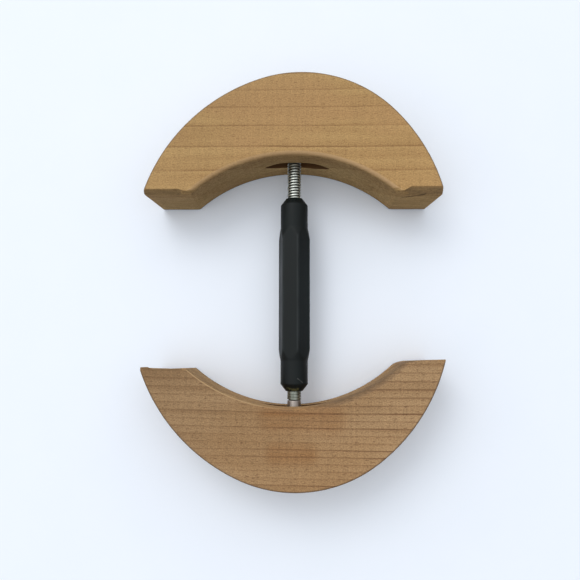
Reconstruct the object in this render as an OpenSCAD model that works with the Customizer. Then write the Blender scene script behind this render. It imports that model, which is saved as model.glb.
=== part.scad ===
// Hat stretcher: two half-moon wooden blocks that a turnbuckle pushes apart inside a hat band.
// X runs across the blocks, Y from the rear block to the front block and Z up.
// The blocks lie flat on Z = 0, and the origin is under the middle of the whole length.

/* [Setting] */
// Rod showing between the grip and the hollow wall of the front block
front_gap = 16.4; // [14:0.1:30]
// Rod showing between the grip and the hollow wall of the rear block
rear_gap = 7; // [5:0.1:30]
// Turn of the hexagon about its own axis, in degrees
grip_turned = 15.5; // [0:0.5:60]
// Swing of the front block about its pin, in degrees
front_swung = 0; // [-20:0.1:20]
// Swing of the rear block about its pin, in degrees
rear_swung = 2; // [-20:0.1:20]

/* [Wooden blocks] */
// Thickness of a block
block_t = 30; // [25:0.5:40]
// Depth of the front block from its nose to its flat ends
front_depth = 55.6; // [50:0.1:60]
// Depth of the rear block from its nose to its flat ends
rear_depth = 56.1; // [50:0.1:60]
// Wood of the front block between its nose and its hollow wall
front_web = 38.1; // [34:0.1:42]
// Wood of the rear block between its nose and its hollow wall
rear_web = 36.9; // [34:0.1:42]
// Radius of the nose
nose_r = 60; // [54:0.5:66]
// Half of the angle over which the nose radius runs
nose_half_angle = 31; // [26:1:38]
// How far the hand-sawn nose of the front block lies to its right
front_nose_off = 3.2; // [0:0.1:5]
// How far the nose of the front block is rolled to its right, in degrees
front_nose_roll = 13; // [-15:0.5:15]
// How far the nose of the rear block is rolled to its right, in degrees
rear_nose_roll = -4.5; // [-15:0.5:15]
// Radius of the flanks on both sides of the nose
flank_r = 82.5; // [76:0.5:100]
// Radius of the hollow wall
hollow_r = 71; // [62:1:80]
// How far the outer wall leans in from the top edge to the underside
wall_lean = 3; // [0:0.1:5]
// Bevel left by sanding along the top and bottom edges
edge_bevel = 1.2; // [0.4:0.1:2]
// How much wider the bevel is along the flat ends, which are sanded rounder
end_extra = 0.6; // [0.2:0.1:1.5]

/* [Slots and pivot pins] */
// How far the pin of the rear block lies to the right of the middle of its hollow
rear_pin_off = 1.6; // [0:0.1:3]
// How far the slot of the front block lies to the right of its pin
front_slot_off = 1.5; // [0:0.1:3]
// Width of the slot where it opens in the hollow wall
slot_mouth = 30; // [26:0.5:34]
// Room behind the eye in the slot
slot_back = 3; // [1:0.5:5]
// Room above and below the rod in the slot
slot_play = 0.3; // [0.2:0.05:0.6]
// Distance of the pivot pin behind the hollow wall
pin_depth = 9; // [8.6:0.1:11]
// Diameter of the pivot pin
pin_d = 5; // [4:0.1:6]
// Wood left over the blind end of the pin
pin_cover = 5; // [3:0.5:8]
// How far the driven end of the pin is sunk into the underside
pin_recess = 1; // [0.5:0.1:2]
// Bevel on both ends of the pin
pin_bevel = 0.4; // [0.2:0.1:0.8]

/* [Threaded rods] */
// Diameter over the thread
rod_d = 6.35; // [5.8:0.05:7]
// Distance from thread to thread
thread_pitch = 1.27; // [1:0.01:1.5]
// Depth of the thread
thread_depth = 0.78; // [0.5:0.01:0.9]
// Plain shank of the front rod, from its pin to the first thread
front_shank = 9; // [8:0.1:12]
// Plain shank of the rear rod, from its pin to the first thread
rear_shank = 12; // [8:0.1:14]
// Space between the ends of the two rods inside the grip
tip_gap = 14.4; // [9:0.1:24]
// Metal round the hole of an eye
eye_wall = 5.4; // [4:0.1:5.5]
// Thickness of the flattened eye
eye_t = 5.6; // [4:0.1:5.7]
// Running play between the eye and its pin, on the radius
pin_play = 0.06; // [0.02:0.01:0.1]

/* [Grip] */
// Length of the grip
grip_len = 89.7; // [80:0.1:100]
// Length of the round collar at each end
collar_len = 10.8; // [8:0.1:14]
// Wall of the collar round its bush
collar_wall = 1.55; // [1:0.05:2]
// How far the flats of the hexagon stand out from the collar
hex_step = 0.2; // [0.1:0.05:1]
// Length of the taper from the collar to the hexagon
taper_len = 5.2; // [3:0.1:8]
// Length of the cone at the mouth
cone_len = 3.2; // [2:0.1:5]
// Width of the flat ring round the mouth
mouth_lip = 0.33; // [0.2:0.01:0.6]
// Play between the rod and the mouth, on the radius
mouth_play = 0.4; // [0.3:0.05:0.6]
// Play between the rods and the middle of the bore, on the radius
bore_play = 0.6; // [0.4:0.05:1]

/* [Threaded bushes] */
// Length of a bush
bush_len = 11; // [8:0.5:12]
// Wall of a bush
bush_wall = 1.5; // [1:0.1:2]
// Distance of a bush behind the end of the grip
bush_set = 3.2; // [2.5:0.1:5]
// Running play between a bush and the grip, on the radius
bush_play = 0.05; // [0.02:0.01:0.1]
// Running play between a bush and the thread, on the radius
thread_play = 0.05; // [0.02:0.01:0.1]

/* [Hidden] */

$fn = 96;
// Amount by which a cutter reaches past the face that it opens
past = 1;

wood = "#b58f66";
zinc = "#b9bdbd";
black = "#1f2223";
brass = "#a8935a";

// Height of the rods, pins and grip axis above the underside
mid_z = block_t / 2;

// Places along the length
span = front_web + front_gap + grip_len + rear_gap + rear_web;
rear_wall_y = rear_web - span / 2;
grip_rear_y = rear_wall_y + rear_gap;
grip_front_y = grip_rear_y + grip_len;
front_wall_y = grip_front_y + front_gap;
front_pin_y = front_wall_y + pin_depth;
rear_pin_y = rear_wall_y - pin_depth;
rod_reach = (front_pin_y - rear_pin_y - tip_gap) / 2;

end_bevel = edge_bevel + end_extra;

// The slot is the cut of one round cutter, sunk until it clears the eye
eye_hole_r = pin_d / 2 + pin_play;
eye_r = eye_hole_r + eye_wall;
slot_h = rod_d + 2 * slot_play;
slot_sag = hollow_r - sqrt(hollow_r * hollow_r - slot_mouth * slot_mouth / 4);
slot_end = pin_depth + eye_r + slot_back;
slot_r = (slot_mouth * slot_mouth / 4 / (slot_end + slot_sag) + slot_end + slot_sag) / 2;

pin_len = block_t - pin_cover - pin_recess;

// Radii of the grip and its bushes, from the thread outwards
thread_r = rod_d / 2;
bush_hole_r = thread_r + thread_play;
bush_r = bush_hole_r + bush_wall;
bush_seat_r = bush_r + bush_play;
collar_r = bush_seat_r + collar_wall;
hex_corner_r = (collar_r + hex_step) / cos(30);
mouth_r = thread_r + mouth_play;
bore_r = thread_r + bore_play;
hex_from = cone_len + collar_len + taper_len;

// One pitch of the thread: share of the pitch, share of the depth
thread_form = [[0, 0], [0.25, 0], [0.5625, 1], [0.6875, 1]];
form_points = len(thread_form);
thread_sides = 12;
// Plain end of the thread's core, before its first and after its last turn
thread_lead = 0.3;

function polar(r, angle, z) = [r * cos(angle), r * sin(angle), z];

// Height of the thread at z: it rises over one pitch and runs out before the tip
function thread_rise(z, last_z) =
    let (run_in = (z - thread_lead) / thread_pitch - 1, run_out = (last_z - z) / thread_pitch)
    max(0, min(1, run_in, run_out));

// A plain ring, the columns of the helix side by side, and another plain ring
function thread_points(length, turns, hand) =
    let (
        core_r = thread_r - thread_depth,
        step = 360 / thread_sides,
        sides = [0 : thread_sides - 1],
        last_z = thread_lead + thread_pitch * (turns - 1)
    )
    concat(
        [for (i = sides) polar(core_r, hand * i * step, 0)],
        [for (i = sides, j = [0 : turns * form_points])
            let (
                form = thread_form[j % form_points],
                turn = floor(j / form_points) + form[0] + i / thread_sides,
                z = thread_lead + thread_pitch * turn
            )
            polar(core_r + thread_depth * form[1] * thread_rise(z, last_z), hand * i * step, z)],
        [for (i = sides) polar(core_r, hand * i * step, length)]
    );

function two_triangles(a, b, c, d) = [[a, b, c], [a, c, d]];

function thread_faces(turns) =
    let (
        n = thread_sides,
        m = form_points,
        rows = turns * m,
        top = n + n * (rows + 1),
        last = n - 1,
        at = function (i, j) n + i * (rows + 1) + j
    )
    concat(
        [[for (i = [0 : last]) i], [for (i = [last : -1 : 0]) top + i]],
        [for (i = [0 : last - 1])
            each two_triangles(i, at(i, 0), at(i + 1, 0), i + 1)],
        [for (i = [0 : last - 1], j = [0 : rows - 1])
            each two_triangles(at(i, j), at(i, j + 1), at(i + 1, j + 1), at(i + 1, j))],
        [for (i = [0 : last - 1])
            each two_triangles(at(i, rows), top + i, top + i + 1, at(i + 1, rows))],
        // Between the last column and the first, one turn further on
        [for (j = [0 : rows - m - 1])
            each two_triangles(at(last, j), at(last, j + 1), at(0, j + m + 1), at(0, j + m))],
        [[last, at(last, 0), 0], [0, at(last, 0), at(0, 0)]],
        [for (j = [0 : m - 1]) [at(last, 0), at(0, j + 1), at(0, j)]],
        [for (j = [rows - m : rows - 1]) [at(last, j), at(last, j + 1), at(0, rows)]],
        two_triangles(at(last, rows), top + last, top, at(0, rows))
    );

function handed(faces, hand) = hand > 0 ? faces : [for (f = faces) [for (k = [len(f) - 1 : -1 : 0]) f[k]]];

// Threaded length along +Z, with a right-hand thread for hand 1 and a left-hand one for hand -1
module thread(length, hand) {
    turns = floor((length - 2 * thread_lead) / thread_pitch) - 1;
    polyhedron(thread_points(length, turns, hand), handed(thread_faces(turns), hand));
}

// Radius of the leaning outer wall at a height, from its radius at the top
function wall_r(r, z) = r - wall_lean * (1 - z / block_t);

// Wedge of a round block with bevelled rims, from the X axis round to an angle
module bevelled_wedge(r, angle) {
    low_z = edge_bevel;
    high_z = block_t - edge_bevel;
    rotate_extrude(angle = angle)
        polygon([
            [0, 0], [wall_r(r, 0) - edge_bevel, 0], [wall_r(r, low_z), low_z],
            [wall_r(r, high_z), high_z], [r - edge_bevel, block_t], [0, block_t]
        ]);
}

// One flank and the nose, drawn along the ray on which they are tangent, at an angle from the nose
module flank_and_nose(web, angle) {
    step = flank_r - nose_r;
    translate([-step * sin(angle), web - nose_r - step * cos(angle), 0])
        rotate([0, 0, 90 - angle]) {
            mirror([0, 1, 0])
                bevelled_wedge(flank_r, 90 - angle);
            translate([step, 0, 0])
                bevelled_wedge(nose_r, 2 * angle);
        }
}

// Everything on one side of the nose and in front of the flat end, with its edges bevelled
module end_limit(web, depth) {
    end_y = web - depth;
    rotate([90, 0, 90])
        linear_extrude(flank_r)
            polygon([
                [end_y + end_bevel, 0], [end_y, end_bevel],
                [end_y, block_t - end_bevel], [end_y + end_bevel, block_t],
                [web + past, block_t], [web + past, 0]
            ]);
}

// A block without its hollow, the nose towards +Y; roll moves the nose's ends to the right
module half_moon(web, depth, roll) {
    for (side = [0, 1])
        mirror([side, 0, 0])
            intersection() {
                flank_and_nose(web, nose_half_angle + (side == 0 ? roll : -roll));
                end_limit(web, depth);
            }
}

// Round hollow with its rims flared by the bevel
module hollow() {
    flare = hollow_r + edge_bevel + past;
    translate([0, -hollow_r, 0])
        rotate_extrude()
            polygon([
                [0, -past], [flare, -past], [hollow_r, edge_bevel],
                [hollow_r, block_t - edge_bevel], [flare, block_t + past], [0, block_t + past]
            ]);
}

// A block with its pin over X = 0 and the middle of its hollow wall on Y = 0
module block(web, depth, nose_off, roll, pin_off, slot_off) {
    color(wood)
        difference() {
            translate([nose_off - pin_off, 0, 0])
                half_moon(web, depth, roll);
            translate([-pin_off, 0, 0])
                hollow();
            translate([slot_off, slot_end - slot_r, mid_z - slot_h / 2])
                cylinder(r = slot_r, h = slot_h);
            translate([0, pin_depth, -past])
                cylinder(d = pin_d, h = past + pin_recess + pin_len);
        }
}

module pivot_pin() {
    color(zinc)
        translate([0, pin_depth, pin_recess])
            rotate_extrude()
                polygon([
                    [0, 0], [pin_d / 2 - pin_bevel, 0], [pin_d / 2, pin_bevel],
                    [pin_d / 2, pin_len - pin_bevel], [pin_d / 2 - pin_bevel, pin_len], [0, pin_len]
                ]);
}

// Rod along +Y from the middle of its eye
module eye_rod(shank, hand) {
    thread_from = shank - thread_lead - thread_pitch;
    color(zinc)
        difference() {
            union() {
                cylinder(r = eye_r, h = eye_t, center = true);
                rotate([-90, 0, 0])
                    cylinder(d = rod_d, h = shank);
                rotate([-90, 0, 0])
                    translate([0, 0, thread_from])
                        thread(rod_reach - thread_from, hand);
            }
            cylinder(r = eye_hole_r, h = rod_d + 2 * past, center = true);
        }
}

// Bush along +Y from its outer face
module bush() {
    color(brass)
        rotate([-90, 0, 0])
            difference() {
                cylinder(r = bush_r, h = bush_len);
                translate([0, 0, -past])
                    cylinder(r = bush_hole_r, h = bush_len + 2 * past);
            }
}

// Swings a piece about a pin, from the place where it is drawn in front of its hollow wall
module swing(pin_y, angle) {
    translate([0, pin_y, 0])
        rotate([0, 0, angle])
            translate([0, -pin_depth, 0])
                children();
}

module on_front_pin() { swing(front_pin_y, front_swung) children(); }

module on_rear_pin() { swing(rear_pin_y, 180 + rear_swung) children(); }

module front_block() {
    on_front_pin()
        block(front_web, front_depth, front_nose_off, front_nose_roll, 0, front_slot_off);
}

module rear_block() {
    on_rear_pin()
        block(rear_web, rear_depth, 0, rear_nose_roll, rear_pin_off, 0);
}

module front_pivot_pin() { on_front_pin() pivot_pin(); }

module rear_pivot_pin() { on_rear_pin() pivot_pin(); }

module front_eye_rod() {
    translate([0, front_pin_y, mid_z])
        rotate([0, 0, 180])
            eye_rod(front_shank, -1);
}

module rear_eye_rod() {
    translate([0, rear_pin_y, mid_z])
        eye_rod(rear_shank, 1);
}

module front_bush() {
    translate([0, grip_front_y - bush_set, mid_z])
        rotate([0, 0, 180])
            bush();
}

module rear_bush() {
    translate([0, grip_rear_y + bush_set, mid_z])
        bush();
}

// Outline of the turned grip: radius against length, up to the taper of one end
function grip_end() = [
    [mouth_r + mouth_lip, 0], [collar_r, cone_len], [collar_r, cone_len + collar_len], [hex_corner_r, hex_from]
];

module hex_grip() {
    one_end = grip_end();
    other_end = [for (k = [len(one_end) - 1 : -1 : 0]) [one_end[k][0], grip_len - one_end[k][1]]];
    color(black)
        translate([0, grip_rear_y, mid_z])
            rotate([-90, 0, 0])
                difference() {
                    intersection() {
                        rotate([0, 0, -grip_turned])
                            cylinder(r = hex_corner_r, h = grip_len, $fn = 6);
                        rotate_extrude()
                            polygon(concat([[0, 0]], one_end, other_end, [[0, grip_len]]));
                    }
                    translate([0, 0, -past])
                        cylinder(r = mouth_r, h = grip_len + 2 * past);
                    translate([0, 0, bush_set])
                        cylinder(r = bush_seat_r, h = bush_len);
                    translate([0, 0, bush_set + bush_len - past])
                        cylinder(r = bore_r, h = grip_len - 2 * (bush_set + bush_len - past));
                    translate([0, 0, grip_len - bush_set - bush_len])
                        cylinder(r = bush_seat_r, h = bush_len);
                }
}

front_block();
rear_block();
front_pivot_pin();
rear_pivot_pin();
front_eye_rod();
rear_eye_rod();
front_bush();
rear_bush();
hex_grip();
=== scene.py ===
import math

import bmesh
import bpy
from mathutils import Matrix, Vector


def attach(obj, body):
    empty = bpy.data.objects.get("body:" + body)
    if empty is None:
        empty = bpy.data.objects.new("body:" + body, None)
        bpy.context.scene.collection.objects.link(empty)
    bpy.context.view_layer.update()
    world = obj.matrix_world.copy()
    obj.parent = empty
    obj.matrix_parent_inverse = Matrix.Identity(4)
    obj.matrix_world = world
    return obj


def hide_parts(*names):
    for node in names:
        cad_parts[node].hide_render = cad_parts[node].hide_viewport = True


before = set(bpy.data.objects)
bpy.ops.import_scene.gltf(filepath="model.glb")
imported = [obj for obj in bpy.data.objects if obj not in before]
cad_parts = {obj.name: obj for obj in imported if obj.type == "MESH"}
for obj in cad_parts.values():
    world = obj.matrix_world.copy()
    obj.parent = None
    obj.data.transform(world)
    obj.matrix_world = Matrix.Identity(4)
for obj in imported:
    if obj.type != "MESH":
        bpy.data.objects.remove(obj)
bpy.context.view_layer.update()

# Wooden blocks
# Two half-moons bandsawn from a pale hardwood plank with the grain across the hat, the outer wall leaning
# in a little towards the underside and every edge broken by hand with sandpaper. The hollow side carries
# a slot for the rod's eye, and a steel pin is pushed into a blind hole from below.
mm = 0.001
mid_height = 15 * mm
front_pin_y = 64.95 * mm
rear_pin_y = -66.15 * mm
block_thick = 30 * mm
nose_r = 60 * mm
nose_half = math.radians(31)
flank_r = 82.5 * mm
hollow_r = 71 * mm
wall_lean = 3 * mm
pin_depth = 9 * mm
pin_hole_r = 2.5 * mm
pin_hole_top = 25 * mm
slot_r = 16.01 * mm
slot_middle = 3.96 * mm
slot_height = 6.95 * mm
slot_full = 9.3 * mm
slot_rim = 0.9 * mm
slot_curve = 1.3
slot_steps = 6
skin = 0.06 * mm
edge_round = 0.9 * mm
edge_steps = 6
past_edge = 1.5
cap_inset = 1.4
bevel_reach = 1.4
bevel_curve = 1.4
burr_start = 5.2 * mm
burr_full = 3.4 * mm
burr_depth = 4 * mm
arc_points = 40
nose_points = 24
corner_points = 7
end_points = 8
hole_sides = 48
slot_sides = 96
wood_crease = 32


def linear(red, green, blue):
    """A colour picked on an 8-bit screen scale, as the light values a shader takes."""
    shares = [c / 255 for c in (red, green, blue)]
    return tuple(c / 12.92 if c < 0.04045 else ((c + 0.055) / 1.055) ** 2.4 for c in shares) + (1.0,)


def arc(centre, radius, start, stop, count):
    """Evenly spaced points on an arc, angles from +X, both ends included."""
    turns = [start + (stop - start) * k / (count - 1) for k in range(count)]
    return [centre + radius * Vector((math.cos(t), math.sin(t))) for t in turns]


def bend(first, corner, last, count):
    """Points between first and last on the parabola that rounds a corner, the ends left out."""
    shares = [(k + 1) / (count + 1) for k in range(count)]
    return [(1 - s) ** 2 * first + 2 * s * (1 - s) * corner + s * s * last for s in shares]


def rounded(depth, radius):
    """How far a rounded edge stands back at this depth below the face."""
    return radius - math.sqrt(radius ** 2 - (radius - depth) ** 2) if depth < radius else 0.0


def bevelled(depth, width):
    """How far a bevelled edge stands back at this depth below the face."""
    return width * max(0, 1 - depth / (bevel_reach * width)) ** bevel_curve


def half_arm(plan, arm, side, lean, outer_in, end_in, hollow_in, middle_in, burr):
    """One arm of a block, right for side 1 and left for -1, from the hollow's middle round to the nose."""
    join_angle = math.pi / 2 - nose_half - side * plan["roll"]
    nose_centre = Vector((side * plan["nose_off"], plan["web"] - nose_r))
    flank_centre = nose_centre - (flank_r - nose_r) * Vector((math.cos(join_angle), math.sin(join_angle)))
    hollow_centre = Vector((side * plan["hollow_off"], -hollow_r))
    flank = flank_r - lean - outer_in
    hollow = hollow_r + hollow_in
    end_y = plan["end_line"] + end_in
    tip_angle = math.asin((end_y - flank_centre.y) / flank)
    tip_stop = tip_angle + arm["tip"] / flank
    heel_angle = math.asin((plan["end_line"] + arm["heel_share"] * end_in + hollow_r) / hollow)
    heel_stop = heel_angle + arm["heel_cut"] / hollow
    tip, past_tip = arc(flank_centre, flank, tip_angle, tip_stop, 2)
    heel, past_heel = arc(hollow_centre, hollow, heel_angle, heel_stop, 2)
    heel_end = Vector((heel.x + arm["heel_run"], end_y))
    tip.y -= burr
    tip_end = tip - Vector((arm["tip"], 0))
    shelf = Vector((tip.x - burr_start, end_y))
    flap = Vector((tip.x - burr_full, tip.y))
    points = arc(hollow_centre, hollow, math.pi / 2, heel_stop, arc_points)
    for k, p in enumerate(points):
        short = (middle_in - hollow_in) * (1 - k / (arc_points - 1)) ** 2
        p += short * (p - hollow_centre).normalized()
    points += bend(past_heel, heel, heel_end, corner_points)
    points += [heel_end.lerp(shelf, k / end_points) for k in range(end_points + 1)] + [flap, tip_end]
    points += bend(tip_end, tip, past_tip, corner_points)
    points += arc(flank_centre, flank, tip_stop, join_angle, arc_points)
    points += arc(nose_centre, nose_r - lean - outer_in, join_angle, math.pi / 2, nose_points)[1:]
    return [Vector((side * p.x, p.y)) for p in points]


def shown(name, mesh):
    """An object at the origin with this mesh, in the scene."""
    piece = bpy.data.objects.new(name, mesh)
    bpy.context.scene.collection.objects.link(piece)
    return piece


def lofted(name, rings):
    """A closed mesh through rings of equal count, the first and last ring capped."""
    work = bmesh.new()
    rows = [[work.verts.new(p) for p in ring] for ring in rings]
    for low, high in zip(rows, rows[1:]):
        for k in range(len(low)):
            after = (k + 1) % len(low)
            work.faces.new((low[k], low[after], high[after], high[k]))
    work.faces.new(list(reversed(rows[0])))
    work.faces.new(rows[-1])
    mesh = bpy.data.meshes.new(name)
    work.to_mesh(mesh)
    work.free()
    return mesh


def turned(name, profile, place, sides):
    """A solid turned about local Z from (radius, height) points, its ends closed by flat faces."""
    rings = [[place @ Vector((p.x, p.y, z)) for p in arc(Vector((0, 0)), r, 0, 2 * math.pi, sides + 1)[:-1]]
             for r, z in profile]
    return shown(name, lofted(name, rings))


def settle(piece):
    """Turns the piece's modifiers into its plain mesh."""
    graph = bpy.context.evaluated_depsgraph_get()
    mesh = bpy.data.meshes.new_from_object(piece.evaluated_get(graph))
    piece.modifiers.clear()
    piece.data = mesh
    return piece


def combine(piece, other, operation):
    """Cuts other from the piece or joins it on, and drops other."""
    step = piece.modifiers.new(operation, "BOOLEAN")
    step.operation = operation
    step.solver = "EXACT"
    step.object = other
    settle(piece)
    bpy.data.objects.remove(other)
    return piece


def smooth(piece, angle):
    """Smooth shading, with edges steeper than angle left sharp."""
    piece.data.shade_smooth()
    piece.data.set_sharp_from_angle(angle=math.radians(angle))
    return piece


def slot_cutter(place):
    """The saw's path: as high as the rod needs in the middle, thinning to a lens at both ends."""
    shares = [k / slot_steps for k in range(slot_steps + 1)]
    halves = [(slot_full + (slot_r - slot_full) * k,
               slot_height / 2 + (slot_rim - slot_height) / 2 * k ** slot_curve) for k in shares]
    profile = [(r, mid_height - half) for r, half in halves]
    profile += [(r, mid_height + half) for r, half in reversed(halves)]
    return turned("slot", profile, place, slot_sides)


def mark_cuts(piece, place, plan, slot_off, arms):
    """Notes on the mesh what is sawn, how much paler or darker each edge is painted (painted shade on the
    outer edges and end bevels) and which faces line the slot, which get painted shade.
    """
    end_fade = 0.3
    end_most = 1.25
    end_bevel_shade = -0.4
    end_bevel_shade_reach = 1.3
    outer_edge_shade = -1
    rim_blend = 40 * mm
    sawn = piece.data.attributes.new("sawn", "FLOAT", "POINT")
    edged = piece.data.attributes.new("edged", "FLOAT", "POINT")
    hollow_centre = Vector((plan["hollow_off"], -hollow_r))
    slot_centre = Vector((slot_off, slot_middle))
    to_block = place.inverted()
    slotted = []
    for vertex in piece.data.vertices:
        spot = to_block @ vertex.co
        arm = arms[0] if spot.x > 0 else arms[1]
        past_lip = (spot.xy - hollow_centre).length - hollow_r
        on_top = spot.z > mid_height
        deep = block_thick - spot.z if on_top else spot.z
        hollow_round = arm["hollow"] if on_top else edge_round
        at_hollow = past_lip < past_edge * hollow_round
        back = past_lip / hollow_round if at_hollow else rounded(deep, edge_round) / edge_round
        into_end = (plan["end_line"] + arm["end"] - spot.y) / (end_fade * arm["end"])
        shade = max(0, min(1, 1 - back), min(end_most, into_end)) if deep > 0.1 * skin else 0
        near_slot = (spot.xy - slot_centre).length < slot_r + skin
        in_slot = near_slot and abs(spot.z - mid_height) <= slot_height / 2 + skin
        slotted.append(in_slot)
        sawn.data[vertex.index].value = 1 if in_slot and past_lip > skin else shade
        if at_hollow and on_top:
            to_right = min(1, max(0, 0.5 + spot.x / rim_blend))
            edged.data[vertex.index].value = arms[0]["pale"] * to_right + arms[1]["pale"] * (1 - to_right)
        elif into_end > 0 and on_top:
            # Painted shade on the end bevels, which face the light more than the end faces below them.
            edged.data[vertex.index].value = end_bevel_shade if deep < end_bevel_shade_reach * arm["end"] else 0
        elif deep <= edge_round + skin:
            # Painted shade along the outer and bottom rounded edges, where they turn away from the light
            # and meet the table.
            edged.data[vertex.index].value = outer_edge_shade
    # Faces lining the slot are marked for painted shade.
    slot_shade = piece.data.attributes.new("slot_shade", "FLOAT", "FACE")
    for face in piece.data.polygons:
        slot_shade.data[face.index].value = all(slotted[corner] for corner in face.vertices)


def half_moon(name, place, plan, slot_off, arms):
    """One block in place: sanded edges, leaning walls, eye slot and pin hole."""
    steps = [1 - math.cos(math.pi / 2 * k / edge_steps) for k in range(edge_steps + 1)]
    widest = max(max(bevel_reach * arm["end"], arm["hollow"]) for arm in arms)
    depths = sorted({edge_round * s for s in steps + [past_edge]} | {widest * s for s in steps[1:]})
    levels = [(0, cap_inset)] + [(edge_round * s, 1) for s in steps + [past_edge]]
    levels += [(block_thick - d, 1) for d in reversed(depths)] + [(block_thick, cap_inset)]
    rings = []
    for z, share in levels:
        lean = skin + wall_lean * (1 - z / block_thick)
        deep = block_thick - z
        low = share * rounded(z, edge_round)
        outer_in = low + share * rounded(deep, edge_round)
        hollow_ins = [low + share * rounded(deep, arm["hollow"]) for arm in arms]
        middle_in = sum(hollow_ins) / 2
        halves = []
        for side, arm, hollow_in in zip((1, -1), arms, hollow_ins):
            end_in = low + share * bevelled(deep, arm["end"])
            burr = arm["burr"] * max(0, 1 - deep / burr_depth)
            halves.append(half_arm(plan, arm, side, lean, outer_in, end_in, hollow_in, middle_in, burr))
        right, left = halves
        rings.append([place @ Vector((p.x, p.y, z)) for p in right + left[-2:0:-1]])
    piece = shown(name, lofted(name, rings))
    at_slot = place @ Matrix.Translation((slot_off, slot_middle, 0))
    at_pin = place @ Matrix.Translation((0, pin_depth, 0))
    combine(piece, slot_cutter(at_slot), "DIFFERENCE")
    hole = turned("pin hole", [(pin_hole_r, -mm), (pin_hole_r, pin_hole_top)], at_pin, hole_sides)
    combine(piece, hole, "DIFFERENCE")
    mark_cuts(piece, place, plan, slot_off, arms)
    return smooth(piece, wood_crease)


def put(tree, kind, inputs=None, **settings):
    """A node with its settings and inputs; an input is a value or another node's output."""
    made = tree.nodes.new(kind)
    for key, value in settings.items():
        setattr(made, key, value)
    for key, value in (inputs or {}).items():
        if isinstance(value, bpy.types.NodeSocket):
            tree.links.new(value, made.inputs[key])
        else:
            made.inputs[key].default_value = value
    return made


def calc(tree, operation, *values):
    """The output of a Math node."""
    return put(tree, "ShaderNodeMath", dict(enumerate(values)), operation=operation).outputs[0]


def vector(tree, operation, first, second, output=0):
    """An output of a Vector Math node with two vectors."""
    return put(tree, "ShaderNodeVectorMath", {0: first, 1: second}, operation=operation).outputs[output]


def scaled(tree, first, times):
    """A vector made so many times as long."""
    return put(tree, "ShaderNodeVectorMath", {0: first, "Scale": times}, operation="SCALE").outputs[0]


def ramp(tree, value, low, high, start=0.0, stop=1.0):
    """value brought smoothly from low..high to start..stop, and held outside."""
    return put(tree, "ShaderNodeMapRange", {0: value, 1: low, 2: high, 3: start, 4: stop},
               interpolation_type="SMOOTHSTEP").outputs[0]


def uneven(tree, value, margin, amount):
    """A factor that wavers about 1 by amount, as value goes from margin to 1 - margin."""
    return ramp(tree, value, margin, 1 - margin, 1 - amount, 1 + amount)


def noise(tree, spot, cells, detail=2.0, rough=0.5):
    """Noise from 0 to 1 with so many cells per metre along X, Y and Z."""
    return put(tree, "ShaderNodeTexNoise", {"Vector": vector(tree, "MULTIPLY", spot, cells), "Scale": 1.0,
                                            "Detail": detail, "Roughness": rough}).outputs[0]


def tinted(tree, share, first, second, blend="MIX"):
    """One colour carried towards another by a share from 0 to 1."""
    return put(tree, "ShaderNodeMix", {0: share, 6: first, 7: second},
               data_type="RGBA", blend_type=blend).outputs[2]


def noted(tree, name):
    """A number that was noted on the mesh."""
    return put(tree, "ShaderNodeAttribute", attribute_name=name).outputs["Fac"]


def material(name):
    """An empty material, its tree, its object coordinates and its main shader."""
    made = bpy.data.materials.new(name)
    made.use_nodes = True
    tree = made.node_tree
    tree.nodes.clear()
    shader = put(tree, "ShaderNodeBsdfPrincipled")
    put(tree, "ShaderNodeOutputMaterial", {0: shader.outputs[0]})
    return made, tree, put(tree, "ShaderNodeTexCoord").outputs["Object"], shader


def join(tree, shader, **inputs):
    """Feeds the main shader, its input names written with underscores."""
    for key, value in inputs.items():
        target = shader.inputs[key.replace("_", " ")]
        if isinstance(value, bpy.types.NodeSocket):
            tree.links.new(value, target)
        else:
            target.default_value = value


def bump(tree, height, strength, distance):
    """A surface normal from a height."""
    return put(tree, "ShaderNodeBump",
               {"Height": height, "Strength": strength, "Distance": distance}).outputs[0]


def along_line(tree, spot, start, stop, width):
    """1 on the line from start to stop, falling to 0 at width away from it."""
    start, stop = Vector(start), Vector(stop)
    way = (stop - start).normalized()
    offset = vector(tree, "SUBTRACT", spot, start)
    run = vector(tree, "DOT_PRODUCT", offset, way, "Value")
    run = calc(tree, "MINIMUM", calc(tree, "MAXIMUM", run, 0.0), (stop - start).length)
    away = vector(tree, "DISTANCE", offset, scaled(tree, way, run), "Value")
    return ramp(tree, away, 0.2 * width, width, start=1.0, stop=0.0)


def growth_rings(tree, local, axes, rings, seed):
    """Where a point lies in its growth ring, from 0 to 1, and how dark the ring's late wood is there."""
    ring_waver = 3 * mm
    faintest, darkest = 0.3, 1.0
    waver = calc(tree, "SUBTRACT", noise(tree, local, (9, 22, 22), 3.0), 0.5)
    waver = calc(tree, "MULTIPLY", waver, ring_waver)
    below = calc(tree, "SUBTRACT", axes[2], block_thick)
    depth = calc(tree, "MULTIPLY_ADD", below, rings["tilt"], calc(tree, "ADD", axes[1], waver))
    depth = calc(tree, "SUBTRACT", depth, rings["first"])
    stretch = calc(tree, "MULTIPLY_ADD", depth, rings["spread"] / rings["gap"], 1 / rings["gap"])
    count = calc(tree, "MULTIPLY", depth, stretch)
    part = calc(tree, "FRACT", count)
    ring = calc(tree, "ADD", calc(tree, "FLOOR", count), seed)
    chance = put(tree, "ShaderNodeTexWhiteNoise", {"W": ring}, noise_dimensions="1D").outputs[0]
    width = rings["line"] / rings["gap"]
    late = calc(tree, "MULTIPLY", ramp(tree, part, 0.0, 0.25 * width),
                ramp(tree, part, 0.3 * width, width, start=1.0, stop=0.0))
    broken = ramp(tree, noise(tree, local, (45, 300, 300), 3.0), 0.34, 0.6, start=0.45, stop=1.0)
    chosen = calc(tree, "MULTIPLY", chance, chance)
    chosen = calc(tree, "MULTIPLY_ADD", chosen, darkest - faintest, faintest)
    return part, calc(tree, "MULTIPLY", late, calc(tree, "MULTIPLY", broken, chosen))


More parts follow.
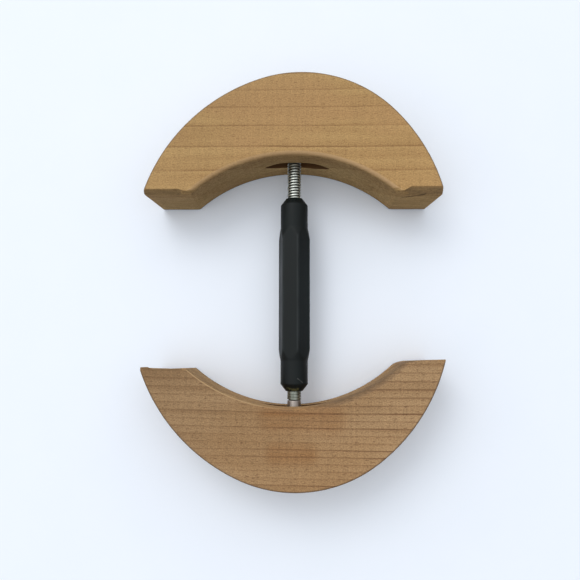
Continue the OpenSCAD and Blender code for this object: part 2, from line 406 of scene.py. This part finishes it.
def split_gap(tree, own, splits):
    """1 in the ragged drying splits, and 0 elsewhere."""
    split_width = 0.8 * mm
    wander = 1.6 * mm
    shake = put(tree, "ShaderNodeTexNoise", {"Vector": own, "Scale": 420.0}).outputs["Color"]
    shake = scaled(tree, vector(tree, "SUBTRACT", shake, (0.5, 0.5, 0.5)), wander)
    ragged = vector(tree, "ADD", own, shake)
    gap = 0.0
    for start, stop in splits:
        gap = calc(tree, "MAXIMUM", gap, along_line(tree, ragged, start, stop, split_width))
    return gap


def wood(name, pin_y, board, rings):
    """Plain-sawn wood: growth lines along X with one sharp side, streaks, specks, ray flecks and splits,
    plus painted light and shade on the sawn walls and painted shade on edges, end bevels and in the slot.
    """
    slot_shade_colour, split_dark = linear(58, 30, 18), linear(46, 36, 26)
    line_fade = 30 * mm
    wall_loss, wall_rough = 0.45, 0.95
    pore_depth = 0.12 * mm
    speckle, line, seed = board["speckle"], board["line"], board["seed"]
    made, tree, spot, shader = material(name)
    own = put(tree, "ShaderNodeMapping", {
        "Vector": spot, "Location": (0, pin_y, 0), "Rotation": (0, 0, board["turn"])},
        vector_type="TEXTURE").outputs[0]
    local = vector(tree, "ADD", own, (seed, 0, 0))
    axes = put(tree, "ShaderNodeSeparateXYZ", {0: own}).outputs
    wall = calc(tree, "MINIMUM", noted(tree, "sawn"), 1.0)
    edged = noted(tree, "edged")
    part, latewood = growth_rings(tree, local, axes, rings, seed)
    plain = ramp(tree, axes[0], -line_fade, line_fade, *board["fade"])
    plain = calc(tree, "MULTIPLY", plain, calc(tree, "MULTIPLY_ADD", wall, -wall_loss, 1.0))
    latewood = calc(tree, "MULTIPLY", latewood, plain)
    streak = noise(tree, local, (6, 130, 90), 4.0, 0.55)
    patch = ramp(tree, noise(tree, local, (16, 34, 34), 2.0), 0.42, 0.62)
    fleck = ramp(tree, noise(tree, local, (420, 2000, 2000), 2.0), 0.56, 0.7)
    speck = noise(tree, local, (1500, 1900, 1900), 2.0, 0.7)
    ray = noise(tree, local, (900, 60, 60), 2.0)
    mottle = noise(tree, local, (130, 1000, 800), 3.0, 0.6)
    pores = noise(tree, local, (220, 3000, 3000), 3.0)

    tone = calc(tree, "MULTIPLY_ADD", calc(tree, "SUBTRACT", 0.5, part), 0.16, streak)
    base = tinted(tree, ramp(tree, tone, 0.3, 0.7), board["light"], board["dark"])
    base = tinted(tree, calc(tree, "MULTIPLY", patch, 0.6), base, board["warm"])
    for stain in board["stains"]:
        soaked = ramp(tree, streak, 0.3, 0.7, start=0.3, stop=1.0)
        soaked = calc(tree, "MULTIPLY", along_line(tree, own, *stain), soaked)
        base = tinted(tree, soaked, base, board["stained"])
    base = tinted(tree, calc(tree, "MULTIPLY", fleck, 2 * speckle), base, line)
    base = tinted(tree, calc(tree, "MULTIPLY", latewood, rings["strength"]), base, line)

    grit = uneven(tree, ray, 0.25, 0.2 * speckle)
    grit = calc(tree, "MULTIPLY", uneven(tree, speck, 0.25, speckle), grit)
    mottle = uneven(tree, mottle, 0.3, 0.7 * speckle)
    grit = calc(tree, "MULTIPLY", grit, calc(tree, "POWER", mottle, wall))
    along, across = board["drift"]
    paler = calc(tree, "MULTIPLY_ADD", axes[1], across, 1.0)
    grit = calc(tree, "MULTIPLY", grit, calc(tree, "MULTIPLY_ADD", axes[0], along, paler))
    grey = put(tree, "ShaderNodeCombineColor", {k: grit for k in (0, 1, 2)}).outputs[0]
    base = tinted(tree, 1.0, base, grey, "MULTIPLY")
    # The sawn walls and ends take the board's wall tint: painted shade on the front block (darker), painted
    # light on the rear block (brighter).
    walls_with_painted_light = tinted(tree, 1.0, base, board["walls"], "MULTIPLY")
    base = tinted(tree, calc(tree, "POWER", wall, 5.0), base, walls_with_painted_light)

    rim = calc(tree, "MULTIPLY", calc(tree, "MULTIPLY", wall, calc(tree, "SUBTRACT", 1.0, wall)), 3.0)
    base = tinted(tree, calc(tree, "MULTIPLY", rim, calc(tree, "MAXIMUM", edged, 0.0)), base, board["rim"])
    # Painted shade on the outer edges and end bevels, and a darker band on one hollow rim, in the board's
    # dark edge colour.
    shade_and_dirt = calc(tree, "MAXIMUM", calc(tree, "MULTIPLY", edged, -0.9), 0.0)
    shade_and_dirt = calc(tree, "MULTIPLY", calc(tree, "POWER", wall, 0.6), shade_and_dirt)
    base = tinted(tree, shade_and_dirt, base, board["shade_and_dirt"])
    # Painted shade inside the slot, dark red-brown streaked with the line colour.
    in_slot = calc(tree, "MULTIPLY", noted(tree, "slot_shade"), 0.95)
    base = tinted(tree, in_slot, base, tinted(tree, streak, slot_shade_colour, line))
    gap = split_gap(tree, own, board["splits"])
    base = tinted(tree, calc(tree, "MULTIPLY", gap, 0.8), base, split_dark)

    height = calc(tree, "SUBTRACT", pores, calc(tree, "MULTIPLY", latewood, 0.4))
    height = calc(tree, "MULTIPLY_ADD", gap, -3.0, height)
    sanded = ramp(tree, speck, 0.2, 0.8, start=0.46, stop=0.62)
    rough = calc(tree, "MULTIPLY_ADD", wall, calc(tree, "SUBTRACT", wall_rough, sanded), sanded)
    join(tree, shader, Base_Color=base, Roughness=rough, Specular_IOR_Level=0.16,
         Normal=bump(tree, height, 0.22, pore_depth))
    return made


front_plan = {"web": 38.1 * mm, "end_line": -17.5 * mm, "nose_off": 3.2 * mm, "roll": math.radians(13),
              "hollow_off": 0.0}
front_slot_off = 1.5 * mm
front_place = Matrix.Translation((0, front_pin_y - pin_depth, 0))
front_arms = ({"end": 3.0 * mm, "hollow": 2.0 * mm, "tip": 0.8 * mm, "burr": 0, "pale": 1.0,
               "heel_cut": 0.5 * mm, "heel_run": 3.6 * mm, "heel_share": 0.25},
              {"end": 2.0 * mm, "hollow": 2.0 * mm, "tip": 0.8 * mm, "burr": 0, "pale": 0.75,
               "heel_cut": 0.5 * mm, "heel_run": 3.0 * mm, "heel_share": 0.4})
front_rings = {"gap": 7.56 * mm, "first": 20.5 * mm, "spread": 4.95, "line": 0.85 * mm, "tilt": 0.45,
               "strength": 0.9}
# The front board's wall tint darkens its sawn walls: painted shade.
front_board = {"turn": math.radians(0.3), "seed": 9.0, "speckle": 0.23, "fade": (1.0, 0.85),
               "drift": (0.9, -2.0), "walls": (0.82, 0.86, 0.92, 1),
               "light": linear(171, 139, 91), "dark": linear(155, 122, 78), "warm": linear(165, 129, 86),
               "line": linear(112, 78, 44), "rim": linear(184, 152, 114), "shade_and_dirt": linear(95, 80, 64),
               "stains": [],
               "splits": [((49.46 * mm, -26.73 * mm, 21.9 * mm), (58.96 * mm, -26.84 * mm, 26.8 * mm))]}
front = half_moon("front_block_wood", front_place, front_plan, front_slot_off, front_arms)
front.data.materials.append(wood("front wood", front_pin_y, front_board, front_rings))
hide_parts("front_block")
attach(front, "front_block")

rear_plan = {"web": 36.9 * mm, "end_line": -19.2 * mm, "nose_off": -1.6 * mm, "roll": math.radians(-4.5),
             "hollow_off": -1.6 * mm}
rear_slot_off = 0.0
rear_turn = math.radians(182)
rear_place = (Matrix.Translation((0, rear_pin_y, 0)) @ Matrix.Rotation(rear_turn, 4, "Z")
              @ Matrix.Translation((0, -pin_depth, 0)))
rear_arms = ({"end": 0.9 * mm, "hollow": 0.5 * mm, "tip": 0.3 * mm, "burr": 1.6 * mm, "pale": 1.0,
              "heel_cut": 0.3 * mm, "heel_run": 0.3 * mm, "heel_share": 1.0},
             {"end": 0.9 * mm, "hollow": 2.2 * mm, "tip": 0.3 * mm, "burr": 0, "pale": -0.75,
              "heel_cut": 3.0 * mm, "heel_run": 5.6 * mm, "heel_share": 1.0})
rear_rings = {"gap": 3.435 * mm, "first": -7.7 * mm, "spread": 2.82, "line": 1.0 * mm, "tilt": 0.30,
              "strength": 0.95}
# The rear board's wall tint brightens its sawn walls: painted light.
rear_board = {"turn": math.radians(179.1), "seed": 31.4, "speckle": 0.28, "fade": (1.0, 0.45),
              "drift": (-1.7, 3.4), "walls": (1.28, 1.29, 1.21, 1),
              "light": linear(157, 127, 92), "dark": linear(138, 108, 75), "warm": linear(143, 111, 75),
              "line": linear(92, 60, 38), "rim": linear(184, 154, 114), "shade_and_dirt": linear(90, 72, 57),
              "stained": linear(130, 88, 48),
              "stains": [((9 * mm, -5 * mm, block_thick), (-16 * mm, -4 * mm, block_thick), 10 * mm),
                         ((8 * mm, 11 * mm, block_thick), (-6 * mm, 11 * mm, block_thick), 7 * mm)],
              "splits": []}
rear = half_moon("rear_block_wood", rear_place, rear_plan, rear_slot_off, rear_arms)
rear.data.materials.append(wood("rear wood", rear_pin_y, rear_board, rear_rings))
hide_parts("rear_block")
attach(rear, "rear_block")

# Eye rods
# Mild steel rods with a rolled quarter-inch thread, left-hand at the front and right-hand at the rear,
# flattened and pierced to an eye at the block's end and zinc plated. The thread follows its helix from
# a smooth shank to a chamfered tip inside the grip.
rod_r = 3.175 * mm
root_r = 2.5 * mm
pitch = 1.27 * mm
crest_width = 0.5 * mm
rod_length = 58.35 * mm
front_shank = 8 * mm
rear_shank = 12 * mm
shank_start = 4.6 * mm
shank_edge = (0.7 * mm, 0.4 * mm, 0.1 * mm)
tip_bevel = (0.9 * mm, 0.7 * mm)
needle_r = 0.01 * mm
eye_r = 7.96 * mm
eye_hole = 2.56 * mm
eye_half = 2.8 * mm
eye_soft = 0.9 * mm
eye_corner_steps = 4
eye_sides = 72
rod_sides = 48
thread_sunk = 0.05 * mm
thread_from_shank = 0.3 * mm
thread_short = 1.2 * mm
metal_crease = 40


def thread_tree():
    """Sweeps a thread ridge along a helix over the plain rod that comes in."""
    steps_per_turn = 48
    lead_pitches = 8.0
    lead_share = 0.15
    foot_share = 0.86
    tree = bpy.data.node_groups.new("rolled thread", "GeometryNodeTree")
    face = tree.interface
    face.new_socket("Plain rod", in_out="INPUT", socket_type="NodeSocketGeometry")
    for key in ("Root radius", "Crest radius", "Pitch", "Crest width", "Length"):
        face.new_socket(key, in_out="INPUT", socket_type="NodeSocketFloat")
    face.new_socket("Left hand", in_out="INPUT", socket_type="NodeSocketBool")
    face.new_socket("Turn", in_out="INPUT", socket_type="NodeSocketRotation")
    face.new_socket("Start", in_out="INPUT", socket_type="NodeSocketVector")
    face.new_socket("Steel", in_out="INPUT", socket_type="NodeSocketMaterial")
    face.new_socket("Threaded rod", in_out="OUTPUT", socket_type="NodeSocketGeometry")
    given = put(tree, "NodeGroupInput").outputs
    turns = calc(tree, "DIVIDE", given["Length"], given["Pitch"])
    middle = calc(tree, "MULTIPLY", calc(tree, "ADD", given["Root radius"], given["Crest radius"]), 0.5)
    helix = put(tree, "GeometryNodeCurveSpiral", {
        "Resolution": steps_per_turn, "Rotations": turns, "Start Radius": middle, "End Radius": middle,
        "Height": given["Length"], "Reverse": given["Left hand"]}).outputs[0]
    helix = put(tree, "GeometryNodeSetCurveNormal", {"Curve": helix}, mode="Z_UP").outputs[0]
    along = put(tree, "GeometryNodeSplineParameter").outputs["Length"]
    lead = calc(tree, "MULTIPLY", given["Pitch"], lead_pitches)
    left = calc(tree, "SUBTRACT", put(tree, "GeometryNodeSplineLength").outputs["Length"], along)
    faded = ramp(tree, calc(tree, "MINIMUM", along, left), 0.0, lead, start=lead_share, stop=1.0)
    helix = put(tree, "GeometryNodeSetCurveRadius", {"Curve": helix, "Radius": faded}).outputs[0]
    ridge = put(tree, "GeometryNodeCurvePrimitiveQuadrilateral", {
        "Height": calc(tree, "SUBTRACT", given["Crest radius"], given["Root radius"]),
        "Bottom Width": calc(tree, "MULTIPLY", given["Pitch"], foot_share),
        "Top Width": given["Crest width"], "Offset": 0.0}, mode="TRAPEZOID").outputs[0]
    ridge = put(tree, "GeometryNodeTransform", {
        "Geometry": ridge, "Rotation": (0, 0, math.radians(-90))}).outputs[0]
    swept = put(tree, "GeometryNodeCurveToMesh", {
        "Curve": helix, "Profile Curve": ridge, "Fill Caps": True}).outputs[0]
    swept = put(tree, "GeometryNodeTransform", {
        "Geometry": swept, "Translation": given["Start"], "Rotation": given["Turn"]}).outputs[0]
    whole = put(tree, "GeometryNodeJoinGeometry")
    tree.links.new(given["Plain rod"], whole.inputs[0])
    tree.links.new(swept, whole.inputs[0])
    real = put(tree, "GeometryNodeRealizeInstances", {0: whole.outputs[0]}).outputs[0]
    real = put(tree, "GeometryNodeSetMaterial", {"Geometry": real, "Material": given["Steel"]}).outputs[0]
    put(tree, "NodeGroupOutput", {0: real})
    return tree


def grow(piece, tree, values):
    """Runs a geometry tree on the piece with its inputs set by name, and keeps the plain result."""
    step = piece.modifiers.new(tree.name, "NODES")
    step.node_group = tree
    for item in tree.interface.items_tree:
        if item.in_out == "INPUT" and item.name in values:
            step[item.identifier] = values[item.name]
    return settle(piece)


def from_axis(tree, across, up):
    """How far a point lies from an axis, from its two distances at right angles."""
    squares = [calc(tree, "MULTIPLY", side, side) for side in (across, up)]
    return calc(tree, "SQRT", calc(tree, "ADD", *squares))


def zinc(name, pin_y, way, shank, clean, worn, groove_shade):
    """Zinc plate gone slightly dull, with fine rubbing marks, painted shade in the thread's grooves and a
    plain shank whose colour carries a painted reflection of the wood.
    """
    shank_with_painted_reflection = linear(146, 138, 132)
    shank_blend = 0.5 * mm
    rub_depth = 0.03 * mm
    made, tree, spot, shader = material(name)
    axes = put(tree, "ShaderNodeSeparateXYZ", {0: spot}).outputs
    out = from_axis(tree, axes[0], calc(tree, "SUBTRACT", axes[2], mid_height))
    along = calc(tree, "MULTIPLY", calc(tree, "SUBTRACT", axes[1], pin_y), way)
    dull = noise(tree, spot, (500, 300, 500), 4.0, 0.6)
    rub = noise(tree, spot, (4000, 900, 4000), 2.0)
    base = tinted(tree, ramp(tree, dull, 0.35, 0.7), clean, worn)
    # Painted shade in the thread's grooves, darkest at the root radius.
    base = tinted(tree, ramp(tree, out, root_r, rod_r), groove_shade, base)
    # The plain shank: grey steel with a painted reflection of the wood in its pinkish tint.
    base = tinted(tree, ramp(tree, along, shank - shank_blend, shank), shank_with_painted_reflection, base)
    join(tree, shader, Base_Color=base, Metallic=1.0,
         Roughness=ramp(tree, rub, 0.2, 0.8, start=0.3, stop=0.46), Normal=bump(tree, rub, 0.08, rub_depth))
    return made


def eye_rod(name, pin_y, way, shank, left_hand, tree, steel):
    """One rod in place: eye about its pin, plain shank, root cylinder and the swept thread."""
    at_eye = Matrix.Translation((0, pin_y, mid_height))
    lay = at_eye @ Matrix.Rotation(math.radians(-90 * way), 4, "X")
    edge_back, edge_mid, edge_in = shank_edge
    bevel_run, bevel_in = tip_bevel
    plain = [(needle_r, shank_start), (rod_r, shank_start), (rod_r, shank - edge_back),
             (rod_r - edge_in, shank - edge_mid), (root_r, shank), (root_r, rod_length - bevel_run),
             (root_r - bevel_in, rod_length), (needle_r, rod_length)]
    piece = turned(name, plain, lay, rod_sides)
    corner = [math.pi / 2 * k / eye_corner_steps for k in range(eye_corner_steps + 1)]
    half = [(eye_r - eye_soft + eye_soft * math.cos(t), eye_half - eye_soft + eye_soft * math.sin(t))
            for t in corner]
    rim = [(r, -z) for r, z in reversed(half)] + half
    eye = turned("eye", rim, at_eye, eye_sides)
    hole = turned("eye hole", [(eye_hole, -2 * eye_half), (eye_hole, 2 * eye_half)], at_eye, hole_sides)
    combine(eye, hole, "DIFFERENCE")
    combine(piece, eye, "UNION")
    smooth(piece, metal_crease)
    grow(piece, tree, {"Root radius": root_r - thread_sunk, "Crest radius": rod_r, "Pitch": pitch,
                       "Crest width": crest_width, "Length": rod_length - shank - thread_short,
                       "Left hand": left_hand, "Steel": steel, "Turn": lay.to_euler(),
                       "Start": lay @ Vector((0, 0, shank + thread_from_shank))})
    return smooth(piece, metal_crease)


thread = thread_tree()
# The front rod's zinc, as lit.
lit_zinc = zinc("lit zinc", front_pin_y, -1, front_shank,
                   linear(208, 212, 206), linear(172, 176, 168), linear(82, 84, 80))
front_rod = eye_rod("front_rod_steel", front_pin_y, -1, front_shank, True, thread, lit_zinc)
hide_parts("front_eye_rod")
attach(front_rod, "front_rod")
# The rear rod's zinc: the same plate painted darker, painted shade.
shaded_zinc = zinc("zinc in painted shade", rear_pin_y, 1, rear_shank,
                 linear(142, 147, 138), linear(105, 110, 101), linear(42, 47, 41))
rear_rod = eye_rod("rear_rod_steel", rear_pin_y, 1, rear_shank, False, thread, shaded_zinc)
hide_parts("rear_eye_rod")
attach(rear_rod, "rear_rod")

# Grip
# A hexagonal bar of black plastic, turned down to round collars and short cones at both ends and bored
# through. The hand wears its edges smooth; the hex edges carry a painted highlight and the rear cone an
# olive patch.
grip_rear = -50.15 * mm
grip_length = 89.7 * mm
mouth_r = 3.575 * mm
lip_r = 3.905 * mm
collar_r = 6.325 * mm
flat_r = 6.525 * mm
hex_r = 7.53 * mm
cone = 3.2 * mm
collar_stop = 14.0 * mm
hex_start = 19.2 * mm
seat_r = 4.775 * mm
seat_start = 3.2 * mm
seat_stop = 14.2 * mm
bore_r = 3.775 * mm
grip_turn = math.radians(15.5)
path_r = mm
edge_softness = 0.12 * mm
corner_soft = 0.35 * mm
corner_steps = 3
longest_edge = 0.6 * mm
scratch = (1.6 * mm, -44.3 * mm, 21.1 * mm), (3.8 * mm, -46.1 * mm, 20.0 * mm), 0.3 * mm
olive_patch = (-2.5 * mm, -48.9 * mm, 18.8 * mm), (1.6 * mm, -49.3 * mm, 19.2 * mm), 1.4 * mm
edge_highlight_band = (7.0 * mm, 7.4 * mm)


def hex_tree():
    """Turns a closed profile about Z and presses the result flat on six sides."""
    sides, flat_angle = 144, math.radians(60)
    tree = bpy.data.node_groups.new("turned hex bar", "GeometryNodeTree")
    face = tree.interface
    face.new_socket("Profile", in_out="INPUT", socket_type="NodeSocketGeometry")
    for key in ("Half across flats", "Edge softness", "Path radius"):
        face.new_socket(key, in_out="INPUT", socket_type="NodeSocketFloat")
    face.new_socket("Turn", in_out="INPUT", socket_type="NodeSocketRotation")
    face.new_socket("Start", in_out="INPUT", socket_type="NodeSocketVector")
    face.new_socket("Plastic", in_out="INPUT", socket_type="NodeSocketMaterial")
    face.new_socket("Grip", in_out="OUTPUT", socket_type="NodeSocketGeometry")
    given = put(tree, "NodeGroupInput").outputs
    profile = put(tree, "GeometryNodeMeshToCurve", {0: given["Profile"]}).outputs[0]
    circle = put(tree, "GeometryNodeCurvePrimitiveCircle", {
        "Resolution": sides, "Radius": given["Path radius"]}).outputs[0]
    swept = put(tree, "GeometryNodeCurveToMesh", {"Curve": circle, "Profile Curve": profile}).outputs[0]
    spot = put(tree, "GeometryNodeInputPosition").outputs[0]
    axes = put(tree, "ShaderNodeSeparateXYZ", {0: spot}).outputs
    out = from_axis(tree, axes[0], axes[1])
    angle = calc(tree, "ARCTAN2", axes[1], axes[0])
    off_flat = calc(tree, "WRAP", angle, flat_angle, 0.0)
    off_flat = calc(tree, "SUBTRACT", off_flat, flat_angle / 2)
    limit = calc(tree, "DIVIDE", given["Half across flats"], calc(tree, "COSINE", off_flat))
    pressed = calc(tree, "SMOOTH_MIN", out, limit, given["Edge softness"])
    share = calc(tree, "DIVIDE", pressed, out)
    place = put(tree, "ShaderNodeCombineXYZ", {
        0: calc(tree, "MULTIPLY", axes[0], share), 1: calc(tree, "MULTIPLY", axes[1], share),
        2: axes[2]}).outputs[0]
    swept = put(tree, "GeometryNodeSetPosition", {"Geometry": swept, "Position": place}).outputs[0]
    swept = put(tree, "GeometryNodeTransform", {
        "Geometry": swept, "Translation": given["Start"], "Rotation": given["Turn"]}).outputs[0]
    real = put(tree, "GeometryNodeRealizeInstances", {0: swept}).outputs[0]
    real = put(tree, "GeometryNodeSetMaterial", {"Geometry": real, "Material": given["Plastic"]}).outputs[0]
    put(tree, "NodeGroupOutput", {0: real})
    return tree


def softened(points, radius, count):
    """A closed outline with its corners rounded over radius, or less where an edge is short."""
    most_of_edge = 0.45
    made = []
    for k, corner in enumerate(points):
        before, after = points[k - 1] - corner, points[(k + 1) % len(points)] - corner
        reach = min(radius, most_of_edge * before.length, most_of_edge * after.length)
        first, last = corner + reach * before.normalized(), corner + reach * after.normalized()
        made += [first] + bend(first, corner, last, count) + [last]
    return made


def subdivided(points, gap):
    """The closed outline again with no edge longer than gap."""
    made = []
    for k, start in enumerate(points):
        stop = points[(k + 1) % len(points)]
        count = max(1, math.ceil((stop - start).length / gap))
        made += [start.lerp(stop, j / count) for j in range(count)]
    return made


def black_plastic(name):
    """Matt black plastic, finely textured, with a painted highlight along the hex edges, a scratch and an
    olive patch.
    """
    grain_depth = 0.05 * mm
    made, tree, spot, shader = material(name)
    grain = noise(tree, spot, (2600, 2600, 2600), 2.0)
    smear = noise(tree, spot, (140, 60, 140), 3.0)
    rub = ramp(tree, noise(tree, spot, (900, 900, 900), 3.0), 0.4, 0.6)
    axes = put(tree, "ShaderNodeSeparateXYZ", {0: spot}).outputs
    out = from_axis(tree, axes[0], calc(tree, "SUBTRACT", axes[2], mid_height))
    edge_highlight_breakup = ramp(tree, smear, 0.3, 0.6, start=0.3, stop=1.0)
    edge = calc(tree, "MULTIPLY", ramp(tree, out, *edge_highlight_band), edge_highlight_breakup)
    patch = calc(tree, "MULTIPLY", rub, along_line(tree, spot, *olive_patch))
    cut = along_line(tree, spot, *scratch)
    base = tinted(tree, ramp(tree, smear, 0.3, 0.7), linear(8, 14, 15), linear(13, 20, 21))
    # Painted highlight along the hex edges, broken up by the smear noise.
    base = tinted(tree, calc(tree, "MULTIPLY", edge, 0.25), base, linear(60, 66, 67))
    # An olive patch on the rear cone.
    base = tinted(tree, calc(tree, "MULTIPLY", patch, 0.7), base, linear(96, 92, 58))
    base = tinted(tree, calc(tree, "MULTIPLY", cut, 0.4), base, linear(104, 106, 104))
    join(tree, shader, Base_Color=base, Roughness=ramp(tree, smear, 0.25, 0.75, start=0.44, stop=0.56),
         Specular_IOR_Level=0.2, Normal=bump(tree, calc(tree, "SUBTRACT", grain, cut), 0.12, grain_depth))
    return made


outside = [(lip_r, 0), (collar_r, cone), (collar_r, collar_stop), (hex_r, hex_start)]
inside = [(mouth_r, 0), (mouth_r, seat_start), (seat_r, seat_start), (seat_r, seat_stop),
          (bore_r, seat_stop)]
outline = (outside + [(r, grip_length - z) for r, z in reversed(outside)]
           + [(r, grip_length - z) for r, z in inside] + list(reversed(inside)))
outline = [Vector((r - path_r, -z)) for r, z in outline]
outline = subdivided(softened(outline, corner_soft, corner_steps), longest_edge)
wire = bpy.data.meshes.new("grip profile")
wire.from_pydata([(p.x, p.y, 0) for p in outline],
                 [(k, (k + 1) % len(outline)) for k in range(len(outline))], [])
grip = shown("grip_plastic", wire)
lay = (Matrix.Translation((0, grip_rear, mid_height)) @ Matrix.Rotation(math.radians(-90), 4, "X")
       @ Matrix.Rotation(-grip_turn, 4, "Z"))
grow(grip, hex_tree(), {"Half across flats": flat_r, "Edge softness": edge_softness, "Path radius": path_r,
                        "Turn": lay.to_euler(), "Start": lay.to_translation(),
                        "Plastic": black_plastic("black plastic")})
smooth(grip, metal_crease)
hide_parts("hex_grip")
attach(grip, "grip")

# Bushes and pivot pins
# Turned brass bushes moulded into both ends of the grip, with plain bores in place of their threads, and
# steel pins pushed into the blocks from below. They keep the solids' shapes and only get their metals here.


def worn_metal(name, clean, stained, rough):
    """Bare turned metal: fine rings from the lathe, stains and a little uneven shine."""
    ring_depth = 0.03 * mm
    rough_range = 0.14
    made, tree, spot, shader = material(name)
    stain = noise(tree, spot, (260, 260, 260), 4.0, 0.6)
    rings = noise(tree, spot, (900, 5200, 900), 2.0)
    base = tinted(tree, ramp(tree, stain, 0.4, 0.72), clean, stained)
    join(tree, shader, Base_Color=base, Metallic=1.0,
         Roughness=ramp(tree, rings, 0.2, 0.8, start=rough, stop=rough + rough_range),
         Normal=bump(tree, rings, 0.1, ring_depth))
    return made


brass = worn_metal("brass", linear(196, 168, 96), linear(138, 110, 58), 0.3)
pin_steel = worn_metal("pin steel", linear(150, 150, 146), linear(104, 98, 90), 0.36)
for node, metal in (("rear_bush", brass), ("front_bush", brass),
                    ("rear_pivot_pin", pin_steel), ("front_pivot_pin", pin_steel)):
    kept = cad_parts[node]
    kept.data.materials.clear()
    kept.data.materials.append(metal)

# Table, light and camera
# A pale table top under soft daylight from the upper left, seen by a camera nearly straight above.
table_half = 3
table_thick = 0.02
table_corners = [(table_half * a, table_half * b) for a, b in ((-1, -1), (1, -1), (1, 1), (-1, 1))]
floor = lofted("table", [[Vector((x, y, z)) for x, y in table_corners] for z in (-table_thick, 0)])
table = shown("table", floor)
table_paint, tree, spot, shader = material("table paint")
cloud = noise(tree, spot, (40, 40, 40), 3.0)
join(tree, shader, Base_Color=tinted(tree, cloud, linear(228, 235, 245), linear(231, 237, 247)),
     Roughness=0.8, Specular_IOR_Level=0.1)
floor.materials.append(table_paint)

window_side = Vector((-0.22, 0.46, 0.86))
sky_edge, sky_dim, sky_bright = -0.36, 0.04, 1.335
world = bpy.data.worlds.new("daylight")
bpy.context.scene.world = world
world.use_nodes = True
sky = world.node_tree
gaze = put(sky, "ShaderNodeTexCoord").outputs["Generated"]
toward = vector(sky, "DOT_PRODUCT", gaze, window_side, "Value")
daylight = sky.nodes["Background"]
daylight.inputs["Color"].default_value = (0.97, 0.985, 1.0, 1)
sky.links.new(ramp(sky, toward, sky_edge, 1.0, start=sky_dim, stop=sky_bright), daylight.inputs["Strength"])

window_spot = (-1.2, 1.8, 2.6)
window_aim = Vector((0, 0, mid_height)) - Vector(window_spot)
lamp = bpy.data.lights.new("window", "AREA")
lamp.energy = 27
lamp.size = 1.6
lamp.color = (1.0, 0.985, 0.96)
holder = bpy.data.objects.new("window", lamp)
bpy.context.scene.collection.objects.link(holder)
holder.location = window_spot
holder.rotation_euler = window_aim.to_track_quat("-Z", "Y").to_euler()

camera_spot = (1.81 * mm, -36.97 * mm, 296.44 * mm)
tilt_x, tilt_y, tilt_z = (math.radians(t) for t in (2.932, 0.761, 0.070))
view = bpy.data.cameras.new("camera")
view.lens = 37.61
view.sensor_width = 36
view.shift_x = 0.0
view.shift_y = 0.0713
view.clip_start = 0.01
camera = bpy.data.objects.new("camera", view)
bpy.context.scene.collection.objects.link(camera)
camera.matrix_world = (Matrix.Translation(camera_spot) @ Matrix.Rotation(tilt_z, 4, "Z")
                       @ Matrix.Rotation(tilt_y, 4, "Y") @ Matrix.Rotation(tilt_x, 4, "X"))
bpy.context.scene.camera = camera
bpy.context.scene.view_settings.view_transform = "Standard"

bpy.context.view_layer.update()
